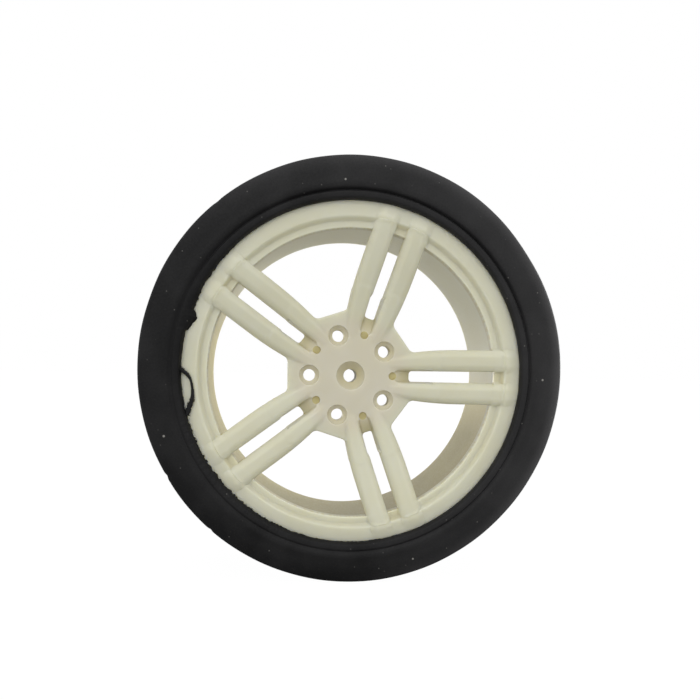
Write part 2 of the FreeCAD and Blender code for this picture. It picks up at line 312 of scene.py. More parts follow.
class NodeSheet:
    """Short calls for building a material's nodes."""

    def __init__(self, tree: bpy.types.NodeTree) -> None:
        """Keep the tree that nodes go into."""
        self.tree = tree

    def add(self, kind: str, **settings: object) -> bpy.types.Node:
        """Make a node and set its properties.

        Args:
            kind: The node's type.
            **settings: Property names and values.

        Returns:
            The new node.
        """
        node = self.tree.nodes.new(kind)
        for name, value in settings.items():
            setattr(node, name, value)
        return node

    def feed(self, target: bpy.types.NodeSocket, value: object) -> None:
        """Link a socket into an input, or write a plain value there."""
        if isinstance(value, bpy.types.NodeSocket):
            self.tree.links.new(value, target)
        else:
            target.default_value = value

    def math(self, operation: str, *values: object) -> bpy.types.NodeSocket:
        """Do arithmetic on numbers or sockets.

        Args:
            operation: The Math node's operation.
            *values: Its inputs in order.

        Returns:
            The result's socket.
        """
        node = self.add("ShaderNodeMath", operation=operation)
        for socket, value in zip(node.inputs, values):
            self.feed(socket, value)
        return node.outputs[0]

    def ramp(self, value: object, low: float, high: float, start: float = 0.0,
             end: float = 1.0) -> bpy.types.NodeSocket:
        """Map a range of values smoothly onto another.

        Args:
            value: The input.
            low: Input that gives start.
            high: Input that gives end.
            start: Output at low.
            end: Output at high.

        Returns:
            The result's socket.
        """
        node = self.add("ShaderNodeMapRange", interpolation_type="SMOOTHSTEP")
        for socket, item in zip(node.inputs, (value, low, high, start, end)):
            self.feed(socket, item)
        return node.outputs[0]

    def mix(self, share: object, first: object, second: object) -> bpy.types.NodeSocket:
        """Mix two colours.

        Args:
            share: Amount of the second colour.
            first: Colour at 0.
            second: Colour at 1.

        Returns:
            The mixed colour's socket.
        """
        node = self.add("ShaderNodeMix", data_type="RGBA")
        self.feed(node.inputs[0], share)
        self.feed(node.inputs[6], first)
        self.feed(node.inputs[7], second)
        return node.outputs[2]

    def plan(self, place: bpy.types.NodeSocket) -> bpy.types.NodeSocket:
        """Drop a place onto the plane across the wheel's axis."""
        flat = self.add("ShaderNodeVectorMath", operation="MULTIPLY")
        self.feed(flat.inputs[0], place)
        flat.inputs[1].default_value = (1.0, 0.0, 1.0)
        return flat.outputs[0]

    def noise(self, place: object, scale: float, detail: float = 2.0) -> bpy.types.NodeSocket:
        """Read fractal noise at a place.

        Args:
            place: Coordinates.
            scale: Features per metre.
            detail: Number of finer layers.

        Returns:
            The noise's value socket.
        """
        node = self.add("ShaderNodeTexNoise")
        self.feed(node.inputs["Vector"], place)
        self.feed(node.inputs["Scale"], scale)
        self.feed(node.inputs["Detail"], detail)
        return node.outputs[0]


def rgb(red: float, green: float, blue: float) -> tuple[float, float, float, float]:
    """Turn a colour as seen, in steps of 255, into the linear light that shaders take.

    Args:
        red: Red from 0 to 255.
        green: Green from 0 to 255.
        blue: Blue from 0 to 255.

    Returns:
        Linear colour with full alpha.
    """
    def linear(step: float) -> float:
        """Undo the display curve of one channel."""
        share = step / 255.0
        return share / 12.92 if share <= 0.04045 else ((share + 0.055) / 1.055) ** 2.4

    return (linear(red), linear(green), linear(blue), 1.0)


def surface_grain() -> bpy.types.ShaderNodeTree:
    """Build the shared group that both materials take their fine grain and smudges from.

    Returns:
        A group with inputs Fine and Coarse, in features per metre, and outputs Grain and Smudge.
    """
    group = bpy.data.node_groups.new("surface_grain", "ShaderNodeTree")
    group.interface.new_socket("Fine", in_out="INPUT", socket_type="NodeSocketFloat")
    group.interface.new_socket("Coarse", in_out="INPUT", socket_type="NodeSocketFloat")
    group.interface.new_socket("Grain", in_out="OUTPUT", socket_type="NodeSocketFloat")
    group.interface.new_socket("Smudge", in_out="OUTPUT", socket_type="NodeSocketFloat")
    sheet = NodeSheet(group)
    entry = sheet.add("NodeGroupInput")
    leave = sheet.add("NodeGroupOutput")
    place = sheet.add("ShaderNodeTexCoord").outputs["Object"]
    fine = sheet.noise(place, entry.outputs["Fine"], 4.0)
    coarse = sheet.noise(place, entry.outputs["Coarse"], 3.0)
    sheet.feed(leave.inputs["Grain"], fine)
    sheet.feed(leave.inputs["Smudge"], sheet.ramp(coarse, 0.35, 0.65))
    return group


@dataclass(frozen=True)
class PlasticFinish:
    """Ivory moulded plastic: satin, a little translucent, with painted shade that turns it yellower and
    darker in its recesses and on the barrel's lower inner wall.
    """

    face: tuple = (208.0, 207.0, 187.0)
    # Painted shade colours: a yellow tone for recesses and a darker one for the most shaded walls.
    painted_recess_shade: tuple = (197.0, 186.0, 134.0)
    painted_dark_shade: tuple = (146.0, 136.0, 88.0)
    hub: tuple = (207.0, 202.0, 184.0)
    roughness: float = 0.44
    shine: float = 0.3
    bump: float = 0.08
    bump_depth: float = 0.03
    coat: float = 0.1
    coat_roughness: float = 0.16
    glow: float = 0.85
    glow_reach: float = 1.8
    glow_tint: tuple = (1.0, 0.95, 0.7)

    def material(self, grain: bpy.types.ShaderNodeTree) -> bpy.types.Material:
        """Build the plastic's nodes.

        Args:
            grain: The shared grain group.

        Returns:
            The material.
        """
        material = bpy.data.materials.new("ivory_plastic")
        material.use_nodes = True
        sheet = NodeSheet(material.node_tree)
        shader = material.node_tree.nodes["Principled BSDF"]
        look = sheet.add("ShaderNodeGroup", node_tree=grain)
        look.inputs["Fine"].default_value = 2600.0
        look.inputs["Coarse"].default_value = 160.0
        # Painted shade: the shade attribute mixes the face colour toward the yellow recess colour, then
        # toward the dark one; the smudge adds random tone.
        shade = sheet.add("ShaderNodeAttribute", attribute_name="shade").outputs["Fac"]
        smudge = sheet.math("MULTIPLY", look.outputs["Smudge"], 0.05)
        share = sheet.math("ADD", shade, smudge)
        spot = sheet.add("ShaderNodeVectorMath", operation="LENGTH")
        sheet.feed(spot.inputs[0], sheet.plan(sheet.add("ShaderNodeTexCoord").outputs["Object"]))
        central = sheet.ramp(spot.outputs["Value"], 7.5 * MM, 10.5 * MM, 1.0, 0.0)
        top = sheet.mix(central, rgb(*self.face), rgb(*self.hub))
        near = sheet.math("MINIMUM", sheet.math("MULTIPLY", share, 2.0), 1.0)
        far = sheet.math("MAXIMUM", sheet.math("MULTIPLY_ADD", share, 2.0, -1.0), 0.0)
        colour = sheet.mix(far, sheet.mix(near, top, rgb(*self.painted_recess_shade)), rgb(*self.painted_dark_shade))
        sheet.feed(shader.inputs["Base Color"], colour)
        shader.inputs["Specular IOR Level"].default_value = self.shine
        shader.inputs["Coat Weight"].default_value = self.coat
        shader.inputs["Coat Roughness"].default_value = self.coat_roughness
        rough = sheet.ramp(look.outputs["Grain"], 0.3, 0.7, self.roughness - 0.05, self.roughness + 0.06)
        sheet.feed(shader.inputs["Roughness"], rough)
        shader.inputs["Subsurface Weight"].default_value = self.glow
        shader.inputs["Subsurface Radius"].default_value = self.glow_tint
        shader.inputs["Subsurface Scale"].default_value = self.glow_reach * MM
        bump = sheet.add("ShaderNodeBump")
        bump.inputs["Strength"].default_value = self.bump
        bump.inputs["Distance"].default_value = self.bump_depth * MM
        sheet.feed(bump.inputs["Height"], look.outputs["Grain"])
        sheet.feed(shader.inputs["Normal"], bump.outputs["Normal"])
        return material


@dataclass(frozen=True)
class RubberFinish:
    """Black slick rubber: matte, slightly grey, with specks of dust at (across, up, size) in mm."""

    face: tuple = (7.0, 7.0, 8.0)
    # Grey that random wear and the painted sheen on the shoulder both mix toward.
    wear_and_sheen: tuple = (112.0, 111.0, 112.0)
    dust: tuple = (134.0, 132.0, 127.0)
    roughness: float = 0.56
    shine: float = 0.2
    speck_cells: float = 640.0
    speck_size: float = 0.04
    speck_share: float = 0.35
    speck_strength: float = 0.4
    bump: float = 0.6
    bump_depth: float = 0.07
    big_specks: tuple = ((29.4, -0.2, 0.22), (-1.6, 28.7, 0.2), (-28.5, -9.5, 0.24), (10.0, -28.5, 0.2))

    def specks(self, sheet: NodeSheet, place: bpy.types.NodeSocket) -> bpy.types.NodeSocket:
        """Mask of dust: cells whose random value is high hold a dot at their middle.

        Args:
            sheet: The material's nodes.
            place: Object coordinates.

        Returns:
            The mask's socket.
        """
        cells = sheet.add("ShaderNodeTexVoronoi")
        sheet.feed(cells.inputs["Vector"], place)
        cells.inputs["Scale"].default_value = self.speck_cells
        dot = sheet.ramp(cells.outputs["Distance"], self.speck_size, self.speck_size * 2.2, 1.0, 0.0)
        chosen = sheet.ramp(cells.outputs["Color"], self.speck_share, self.speck_share + 0.6)
        mask = sheet.math("MULTIPLY", sheet.math("MULTIPLY", dot, chosen), self.speck_strength)
        flat = sheet.plan(place)
        for across, up, size in self.big_specks:
            gap = sheet.add("ShaderNodeVectorMath", operation="DISTANCE")
            sheet.feed(gap.inputs[0], flat)
            gap.inputs[1].default_value = (across * MM, 0.0, up * MM)
            spot = sheet.ramp(gap.outputs["Value"], size * 0.4 * MM, size * MM, 1.0, 0.0)
            mask = sheet.math("MAXIMUM", mask, spot)
        return mask

    def material(self, grain: bpy.types.ShaderNodeTree) -> bpy.types.Material:
        """Build the rubber's nodes.

        Args:
            grain: The shared grain group.

        Returns:
            The material.
        """
        material = bpy.data.materials.new("black_rubber")
        material.use_nodes = True
        sheet = NodeSheet(material.node_tree)
        shader = material.node_tree.nodes["Principled BSDF"]
        look = sheet.add("ShaderNodeGroup", node_tree=grain)
        look.inputs["Fine"].default_value = 3800.0
        look.inputs["Coarse"].default_value = 120.0
        place = sheet.add("ShaderNodeTexCoord").outputs["Object"]
        shade = sheet.add("ShaderNodeAttribute", attribute_name="shade").outputs["Fac"]
        # The shade attribute carries painted sheen on the right shoulder; the smudge adds random wear toward
        # the same grey.
        wear = sheet.math("MULTIPLY", look.outputs["Smudge"], 0.04)
        colour = sheet.mix(sheet.math("ADD", shade, wear), rgb(*self.face), rgb(*self.wear_and_sheen))
        colour = sheet.mix(self.specks(sheet, place), colour, rgb(*self.dust))
        sheet.feed(shader.inputs["Base Color"], colour)
        rough = sheet.ramp(look.outputs["Grain"], 0.3, 0.7, self.roughness - 0.07, self.roughness + 0.07)
        sheet.feed(shader.inputs["Roughness"], rough)
        shader.inputs["Specular IOR Level"].default_value = self.shine
        bump = sheet.add("ShaderNodeBump")
        bump.inputs["Strength"].default_value = self.bump
        bump.inputs["Distance"].default_value = self.bump_depth * MM
        sheet.feed(bump.inputs["Height"], look.outputs["Grain"])
        sheet.feed(shader.inputs["Normal"], bump.outputs["Normal"])
        return material


@dataclass
class Rim:
    """The moulded rim: its front face as a relief over the plan, the barrel and the shaft boss.

    Heights are counted from the wheel's middle plane toward the outer face, so that a height h
    lies at y = -h. The plan of one pair of spokes uses u along the pair and v across it.
    """

    lip_height: float = 11.9
    flange_radius: float = 26.8
    flange_fall: float = 0.5
    lip_flat: float = 1.2
    step_radius: float = 23.65
    step_depth: float = 0.68
    step_foot: float = 0.55
    step_top: float = 0.2
    ledge_radius: float = 22.22
    hub_height: float = 8.2
    hub_back: float = 5.0
    hub_flat: float = 10.0
    hub_reach: float = 14.0
    corner_round: float = 1.1
    half_angle: float = 36.0
    bore_radius: float = 1.05
    head_radius: float = 2.225
    head_depth: float = 0.4
    cone_depth: float = 0.9
    lug_circle: float = 6.55
    lug_radius: float = 0.95
    lug_sink_radius: float = 1.6
    lug_sink_depth: float = 1.0
    dimple_place: float = 6.7
    dimple_radius: float = 0.6
    dimple_depth: float = 0.34
    slot_root: float = 9.5
    slot_round: float = 0.5
    slot_half: tuple = (0.85, 0.92)
    pair_half: tuple = (3.75, 4.25, 4.2)
    pair_widest: float = 16.5
    ridge_start: float = 6.4
    ridge_flat: float = 0.4
    bevel: float = 0.7
    spoke_rise: float = 0.38
    run_out: float = 1.7
    spoke_thick: float = 3.0
    trough_start: float = 6.75
    trough_radius: float = 1.0
    trough_depth: float = 1.3
    trough_lead: float = 0.12
    edge_round: float = 0.24
    foot_round: float = 0.5
    root_blend: float = 1.4
    side_steep: float = 12.0
    side_ease: float = 9.6
    recess_steep: float = 14.0
    pit_steep: float = 16.0
    back_step: float = 13.2
    lip_thick: float = 1.5
    ledge_thick: float = 2.4
    seat_radius: float = 25.1
    barrel_radius: float = 23.5
    mouth_radius: float = 23.9
    boss_radius: float = 5.2
    boss_back: float = 5.4
    shaft_radius: float = 2.7
    shaft_flat: float = 1.85
    shaft_end: float = -2.6
    fine: float = 0.24
    coarse: float = 0.8

    def slot_side(self, u: np.ndarray) -> np.ndarray:
        """Half the slot's width at u, widening evenly from the hub to the step."""
        share = np.clip((u - self.slot_root) / (self.step_radius - self.slot_root), 0.0, 1.0)
        return self.slot_half[0] + (self.slot_half[1] - self.slot_half[0]) * share

    def pair_side(self, u: np.ndarray) -> np.ndarray:
        """Half the pair's width at u: a parabola that bows outward up to its widest place."""
        reach = self.pair_widest - self.slot_root
        inner = 1.0 - ((self.pair_widest - u) / reach) ** 2
        outer = ((u - self.pair_widest) / reach) ** 2
        start, widest, end = self.pair_half
        return np.where(u < self.pair_widest, start + (widest - start) * inner,
                        widest + (end - widest) * outer)

    def climb(self, u: np.ndarray) -> np.ndarray:
        """Share of the spoke's climb from hub to lip: the mean of t and its smooth step."""
        share = np.clip((u - self.ridge_start) / (self.step_radius - self.ridge_start), 0.0, 1.0)
        return 0.5 * (share + share * share * (3.0 - 2.0 * share))

    def ring_height(self, radius: np.ndarray) -> np.ndarray:
        """Height of the ledge and lip: a rounded step, then a lip that falls to the flange."""
        ledge, step = self.lip_height - self.step_depth, self.step_radius
        share = np.clip((radius - step) / (self.flange_radius - step), 0.0, 1.0)
        lip = self.lip_height - self.flange_fall * (0.2 * share + 0.5 * share * share)
        lip = lip - 0.06 * np.exp(-np.clip(radius - step, 0.0, None) / 0.3)
        return ledge + (lip - ledge) * smooth_step(radius, step - self.step_foot, step + self.step_top)

    def spoke_height(self, u: np.ndarray, v: np.ndarray) -> np.ndarray:
        """Height of a spoke's crowned top: a near-flat ridge with a bevel toward each side."""
        near, far = self.slot_side(u), self.pair_side(u)
        across = (v - 0.5 * (near + far)) / (0.5 * (far - near))
        away = np.clip((np.abs(across) - self.ridge_flat) / (1.0 - self.ridge_flat), 0.0, None)
        crown = 0.06 * across ** 2 + 0.94 * np.minimum(away, 1.0) ** 1.6
        top = self.hub_height + (self.lip_height + self.spoke_rise - self.hub_height) * self.climb(u)
        past = smooth_step(u, self.step_radius + 0.2, self.step_radius + self.run_out + 0.8)
        top = top - (self.spoke_rise + 0.8 * self.bevel) * past
        top = top - 0.5 * np.clip(self.ridge_start - u, 0.0, None)
        return top - self.bevel * crown

    def relief(self, plan: np.ndarray, walls: list) -> np.ndarray:
        """Height of the front face over the plan of half a pair's sector.

        Args:
            plan: (u, v) places, v not negative.
            walls: (line, round) of each edge of the face, whose rounding drops the height.

        Returns:
            The height at each place: hub, ring and spokes joined softly, less the holes' recesses.
        """
        u, v = plan[:, 0], plan[:, 1]
        radius = np.hypot(u, v)
        step, on_hub = self.step_radius, radius < self.hub_reach
        base = np.where(radius < self.ledge_radius - 0.2, self.hub_height, self.ring_height(radius))
        spoke = self.spoke_height(u, v)
        aside = np.maximum(np.maximum(v - self.pair_side(u), self.slot_side(u) - v), 0.0)
        proud = np.clip(spoke - base, 0.0, None)
        bend = (1.0 - np.clip(aside / self.foot_round, 0.0, 1.0)) ** 2
        corner = np.minimum(proud, self.foot_round) * bend * (radius < step + 0.1)
        slope = proud * (1.0 - smooth_step(aside, 0.0, self.root_blend))
        base = base + np.where(on_hub, slope, corner)
        steep = self.side_steep - self.side_ease * smooth_step(radius, step - 0.1, step + 0.5)
        spoke = spoke - aside * steep
        width = 0.34 + 0.16 * smooth_step(radius, 20.0, 21.5)
        width = width + 0.5 * smooth_step(radius, step - 0.1, step + 0.6)
        height = soft_max(spoke, base, width)
        height = self.sink(u, v, radius, height)
        return height - self.edge_drop(plan, walls, spoke - base)

    def sink(self, u: np.ndarray, v: np.ndarray, radius: np.ndarray, height: np.ndarray) -> np.ndarray:
        """Cut the trough, the screw's recess, the lug hole's cone and the dimple into the hub."""
        slope = (self.trough_depth - self.trough_lead) / (self.slot_root - self.trough_start)
        depth = self.trough_lead + np.clip(u - self.trough_start, 0.0, None) * slope
        away = np.hypot(np.clip(self.trough_start + self.trough_radius - u, 0.0, None), v)
        wall = smooth_step(away, 0.78 * self.trough_radius, 1.1 * self.trough_radius)
        trough = self.hub_height - depth * (1.0 - wall)
        near = (away < 1.1 * self.trough_radius) & (u < 13.0)
        height = np.where(near, soft_min(height, trough, 0.05), height)
        floor = self.hub_height - self.head_depth
        share = np.clip((self.head_radius - radius) / (self.head_radius - self.bore_radius), 0.0, 1.0)
        beyond = np.clip(radius - self.head_radius, 0.0, None)
        recess = floor - self.cone_depth * share + self.recess_steep * beyond
        height = soft_min(height, recess, 0.12)
        turn = math.radians(self.half_angle)
        lug = np.hypot(u - self.lug_circle * math.cos(turn), v - self.lug_circle * math.sin(turn))
        steep = 0.35 * self.lug_sink_depth / (self.lug_sink_radius - self.lug_radius)
        cone = self.hub_height - 0.3 + (lug - self.lug_sink_radius) * steep
        cone = cone + 3.2 * np.clip(lug - self.lug_sink_radius + 0.1, 0.0, None)
        far_above = 99.0
        height = soft_min(height, np.where(lug < 2.4, cone, far_above), 0.14)
        dimple = np.hypot(u - self.dimple_place, v)
        beyond = np.clip(dimple - self.dimple_radius, 0.0, None)
        pit = self.hub_height - self.dimple_depth + self.pit_steep * beyond
        return soft_min(height, np.where(dimple < 1.0, pit, far_above), 0.06)

    def edge_drop(self, plan: np.ndarray, walls: list, proud: np.ndarray) -> np.ndarray:
        """Drop of the rounded edges: R - sqrt(R^2 - (R - d)^2) at a distance d inside an edge.

        Args:
            plan: (u, v) places.
            walls: (line, round) of each edge.
            proud: How far the spoke stands above the ring there.

        Returns:
            The largest drop of any edge, and of the spoke's sides where they cross the ledge.
        """
        def quarter(distance: np.ndarray, size: float) -> np.ndarray:
            """Drop of one quarter round."""
            gap = np.clip(size - distance, 0.0, size)
            return size - np.sqrt(np.maximum(size * size - gap * gap, 0.0))

        drop = np.zeros(len(plan))
        for line, size in walls:
            if size > 0.0:
                drop = np.maximum(drop, quarter(distance_to(plan, line), size))
        u, v = plan[:, 0], plan[:, 1]
        side = np.minimum(self.pair_side(u) - v, v - self.slot_side(u))
        crossing = quarter(np.clip(side, 0.0, None), self.edge_round)
        crossing = np.minimum(crossing, np.clip(proud, 0.0, None) * 0.8)
        radius = np.hypot(u, v)
        fade = smooth_step(radius, self.ledge_radius - 0.1, self.ledge_radius + 0.1)
        fade = fade * (1.0 - smooth_step(radius, self.step_radius, self.step_radius + 1.0))
        return np.maximum(drop, np.where(side > 0.0, crossing, 0.0) * fade)

    def back_height(self, plan: np.ndarray) -> np.ndarray:
        """Height of the hidden back of the hub, spokes and lip over the plan."""
        u, radius = plan[:, 0], np.hypot(plan[:, 0], plan[:, 1])
        rim_back = self.lip_height + self.spoke_rise - self.spoke_thick
        spoke = self.hub_back + (rim_back - self.hub_back) * self.climb(u)
        height = np.where(u > self.back_step, spoke, self.hub_back)
        thick = np.where(radius > self.seat_radius, self.lip_thick, self.ledge_thick)
        ring = self.lip_height - thick
        return np.where(radius > self.ledge_radius - 0.02, ring, height)

    def hub_corner(self) -> tuple[np.ndarray, np.ndarray, np.ndarray]:
        """Find the round between the hub's flat and the pair's side by walking along the side.

        Returns:
            The round's centre, its foot on the flat, and its foot on the side.
        """
        turn = math.radians(self.half_angle)
        normal = np.array([math.cos(turn), math.sin(turn)])
        u = np.linspace(self.slot_root, 14.0, 4000)
        v = self.pair_side(u)
        slope = np.gradient(v, u)
        length = np.sqrt(1.0 + slope ** 2)
        centres = np.stack([u - slope / length * self.corner_round, v + self.corner_round / length], 1)
        best = int(np.argmin(np.abs(centres @ normal - self.hub_flat - self.corner_round)))
        centre = centres[best]
        return centre, centre - normal * self.corner_round, np.array([u[best], v[best]])

    def outline(self) -> list:
        """Walk round the plan of half a pair's sector.

        Returns:
            (line, round, wall) of each stretch in order; a wall is an edge that the face ends at.
        """
        turn = self.half_angle
        ray = np.array([math.cos(math.radians(turn)), math.sin(math.radians(turn))])
        middle = (0.0, 0.0)
        corner, flat_foot, side_foot = self.hub_corner()
        slot_end = math.sqrt(self.ledge_radius ** 2 - self.slot_half[1] ** 2)
        slot_line = np.linspace(self.slot_root + self.slot_round, slot_end, 60)
        slot_side = np.stack([slot_line, self.slot_side(slot_line)], 1)
        slot_side[-1, 1] = math.sqrt(self.ledge_radius ** 2 - slot_end ** 2)
        round_middle = (self.slot_root + self.slot_round, self.slot_half[0] - self.slot_round)
        slot = np.concatenate([
            [[self.slot_root, 0.0]],
            arc(round_middle, self.slot_round, 180.0, 90.0, 0.1),
            resample(slot_side, self.fine)[1:],
        ])
        slot_angle = math.degrees(math.atan2(slot[-1, 1], slot[-1, 0]))
        low, high = 20.0, self.ledge_radius
        for _ in range(60):
            mid = 0.5 * (low + high)
            if math.hypot(mid, float(self.pair_side(np.array([mid]))[0])) < self.ledge_radius:
                low = mid
            else:
                high = mid
        side_line = np.linspace(low, side_foot[0], 200)
        side = resample(np.stack([side_line, self.pair_side(side_line)], 1), self.fine)
        side_angle = math.degrees(math.atan2(side[0, 1], side[0, 0]))
        start = math.degrees(math.atan2(side_foot[1] - corner[1], side_foot[0] - corner[0]))
        end = turn + 180.0
        start = start + 360.0 if start < 0.0 else start
        bend = arc(tuple(corner), self.corner_round, start, end, 0.12)
        flat = resample(np.array([flat_foot, ray * self.hub_flat]), self.fine)
        lug = tuple(ray * self.lug_circle)
        lug_outer, lug_inner = self.lug_circle + self.lug_radius, self.lug_circle - self.lug_radius
        return [
            (arc(middle, self.bore_radius, turn, 0.0, 0.11), 0.0, True),
            (self.ray_line(0.0, self.bore_radius, self.slot_root), 0.0, False),
            (slot, self.edge_round, True),
            (arc(middle, self.ledge_radius, slot_angle, 0.0, self.fine), 0.12, True),
            (self.ray_line(0.0, self.ledge_radius, self.flange_radius), 0.0, False),
            (arc(middle, self.flange_radius, 0.0, turn, self.fine), 0.0, True),
            (self.ray_line(turn, self.flange_radius, self.ledge_radius), 0.0, False),
            (arc(middle, self.ledge_radius, turn, side_angle, self.fine), 0.12, True),
            (side, self.edge_round, True),
            (bend, self.edge_round, True),
            (flat, self.edge_round, True),
            (self.ray_line(turn, self.hub_flat, lug_outer), 0.0, False),
            (arc(lug, self.lug_radius, turn, turn - 180.0, 0.12), 0.0, True),
            (self.ray_line(turn, lug_inner, self.bore_radius), 0.0, False),
        ]

    def ray_line(self, degrees: float, start: float, end: float) -> np.ndarray:
        """Points along a ray from the axis, from one radius to another."""
        way = np.array([math.cos(math.radians(degrees)), math.sin(math.radians(degrees))])
        return resample(np.array([way * start, way * end]), self.fine)

    def seam(self, line: np.ndarray, guides: list) -> np.ndarray:
        """Points of a mirror line, with the ends of the guide lines that reach it added.

        Args:
            line: The mirror line's own points.
            guides: The guide lines.

        Returns:
            Its points in order, the own ones left out where an added one lies close.
        """
        length = float(np.hypot(*(line[-1] - line[0])))
        way = (line[-1] - line[0]) / length
        ends = np.concatenate([guide[[0, -1]] for guide in guides]) - line[0]
        along, off = ends @ way, ends @ np.array([-way[1], way[0]])
        added = np.sort(along[(np.abs(off) < 0.01) & (along > 0.008) & (along < length - 0.008)])
        added = added[np.concatenate([[True], np.diff(added) > 0.008])[: len(added)]]
        own = (line[1:-1] - line[0]) @ way
        if len(added) and len(own):
            own = own[np.abs(own[:, None] - added[None]).min(1) > 0.07]
        places = np.sort(np.concatenate([[0.0], own, added, [length]]))
        return line[0] + places[:, None] * way

    def guide_lines(self, outline: list) -> list[np.ndarray]:
        """Rows of points along every fold of the relief, so that the mesh follows it.

        Args:
            outline: The stretches of the plan's edge.

        Returns:
            Lines: rows inside each rounded edge, circles at the step, recess, cone and dimple,
            and the sides of the spokes where they cross the ledge.
        """
        turn = self.half_angle
        lines = []
        for line, size, wall in outline:
            if wall and size > 0.0:
                for share in (0.04, 0.14, 0.3, 0.55, 0.85, 1.25):
                    lines.append(self.inset(line, size * share))
        gaps = (-0.62, -0.54, -0.44, -0.32, -0.2, -0.08, 0.04, 0.14, 0.24, 0.4)
        rows = [self.step_radius + gap for gap in gaps]
        rows += [self.head_radius + gap for gap in (-0.1, -0.02, 0.03, 0.07, 0.12)] + [1.35, 1.7]
        rows += [self.step_radius + self.lip_flat, 25.4]
        for radius in rows:
            lines.append(arc((0.0, 0.0), radius, 0.0, turn, min(self.fine, radius * 0.1)))
        way = math.radians(turn)
        lug = (self.lug_circle * math.cos(way), self.lug_circle * math.sin(way))
        for radius in (1.08, 1.22, 1.36, 1.5, 1.57, 1.63, 1.7, 1.85):
            lines.append(arc(lug, radius, turn, turn - 180.0, 0.16))
        for radius in (0.3, 0.5, 0.58, 0.61, 0.64, 0.7):
            lines.append(arc((self.dimple_place, 0.0), radius, 0.0, 180.0, 0.11))
        u = np.arange(self.ledge_radius - 0.2, self.step_radius + 1.2, 0.12)
        for gap in (-0.2, -0.12, -0.06, -0.02, 0.0, 0.03, 0.07, 0.14, 0.24, 0.36, 0.5):
            lines.append(np.stack([u, self.pair_side(u) + gap], 1))
            lines.append(np.stack([u, self.slot_side(u) - gap], 1))
        turn_at = self.trough_start + self.trough_radius
        for share in (0.76, 0.82, 0.88, 0.94, 1.0, 1.06, 1.11):
            reach = self.trough_radius * share
            bend = arc((turn_at, 0.0), reach, 180.0, 90.0, 0.12)
            side = resample(np.array([[turn_at, reach], [10.4, reach]]), 0.14)
            lines.append(np.concatenate([bend, side[1:]]))
        return lines

    def inset(self, line: np.ndarray, distance: float) -> np.ndarray:
        """Line at a distance to the left of a line's way, along its normals."""
        way = np.gradient(line, axis=0)
        way = way / np.hypot(way[:, 0], way[:, 1])[:, None]
        return line + distance * np.stack([-way[:, 1], way[:, 0]], 1)

    def sector(self, outline: list, guides: list, spacing: float) -> tuple[np.ndarray, np.ndarray]:
        """Triangulate the plan of half a sector.

        Args:
            outline: The stretches of the plan's edge.
            guides: Lines of points that the triangles follow.
            spacing: Distance between the points of the open areas.

        Returns:
            Places and triangles.
        """
        edge = np.concatenate([line[:-1] for line, _, _ in outline])
        own = np.arange(len(edge))
        places, links = [edge], [np.stack([own, (own + 1) % len(edge)], 1)]
        base = len(edge)
        every_edge = [line for line, _, _ in outline]
        for line in guides:
            keep = inside(line, edge)
            gap = np.min([distance_to(line, other) for other in every_edge], axis=0)
            keep &= gap > 0.008
            links.append(base + np.flatnonzero(keep[:-1] & keep[1:])[:, None] + np.array([[0, 1]]))
            places.append(np.where(keep[:, None], line, line * 0.0 - 50.0))
            base += len(line)
        count = int(2.2 * self.flange_radius / spacing)
        row, column = np.meshgrid(np.arange(count), np.arange(count), indexing="ij")
        grid = np.stack([(column + 0.5 * (row % 2)) * spacing, row * spacing * 0.866], 2).reshape(-1, 2)
        grid = grid[inside(grid, edge)]
        known = np.concatenate(places)
        clear = np.min([distance_to(grid, line) for line in every_edge], axis=0) > 0.45 * spacing
        grid = grid[clear]
        if guides:
            near = np.concatenate([np.sqrt(((block[:, None] - known[None]) ** 2).sum(2)).min(1)
                                   for block in np.array_split(grid, max(len(grid) // 400, 1))])
            grid = grid[near > 0.5 * spacing]
        cloud = np.concatenate([known, grid])
        used = cloud[:, 0] > -10.0
        index = np.cumsum(used) - 1
        link = np.concatenate(links)
        link = index[link[used[link].all(1)]]
        found = delaunay_2d_cdt([Vector(place) for place in cloud[used].tolist()],
                                [tuple(pair) for pair in link.tolist()], [], 0, 1e-5)
        place = np.array([tuple(point) for point in found[0]])
        triangle = np.array([tuple(face) for face in found[2]])
        middle = place[triangle].mean(1)
        kept = inside(middle, edge)
        for line, _, wall in outline:
            if not wall:
                kept &= ~(distance_to(place, line) < 1e-4)[triangle].all(1)
        return place, triangle[kept]

    def spread(self, plan: np.ndarray, height: np.ndarray, turn: int, mirror: bool) -> np.ndarray:
        """Place a half sector in the wheel.

        Args:
            plan: (u, v) places.
            height: Height over each place.
            turn: Which pair of spokes.
            mirror: True for the half below the pair's middle line.

        Returns:
            Points of the wheel.
        """
        angle = math.radians(2.0 * self.half_angle * turn)
        u, v = plan[:, 0], -plan[:, 1] if mirror else plan[:, 1]
        x = u * math.cos(angle) - v * math.sin(angle)
        z = u * math.sin(angle) + v * math.cos(angle)
        return np.stack([x, -height, z], 1)

    def face_shade(self, plan: np.ndarray, height: np.ndarray) -> np.ndarray:
        """Painted shade over the face, from 0 on top to 1 in a hole: darker and yellower where the moulding
        is sunk, in the dimples, at the step's foot and on the ledge between twin spokes.
        """
        u, v = plan[:, 0], plan[:, 1]
        radius = np.hypot(u, v)
        # Painted shade in the hub's recesses and in the dimples.
        sunk = 0.22 * np.clip((self.hub_height - height - 0.05) / 0.7, 0.0, 1.0) * (radius < 12.0)
        pit = 0.5 * (np.hypot(u - self.dimple_place, v) < self.dimple_radius + 0.02)
        # Painted shadow at the foot of the step between ledge and lip.
        foot = np.exp(-np.clip(self.step_radius - 0.05 - radius, 0.0, None) / 0.6)
        foot = foot * (radius > self.ledge_radius) * (height < self.lip_height - 0.3)
        side = np.maximum(v - self.pair_side(u), 0.0) + 2.0 * (v < self.slot_side(u))
        foot = foot * smooth_step(side, 0.15, 0.9)
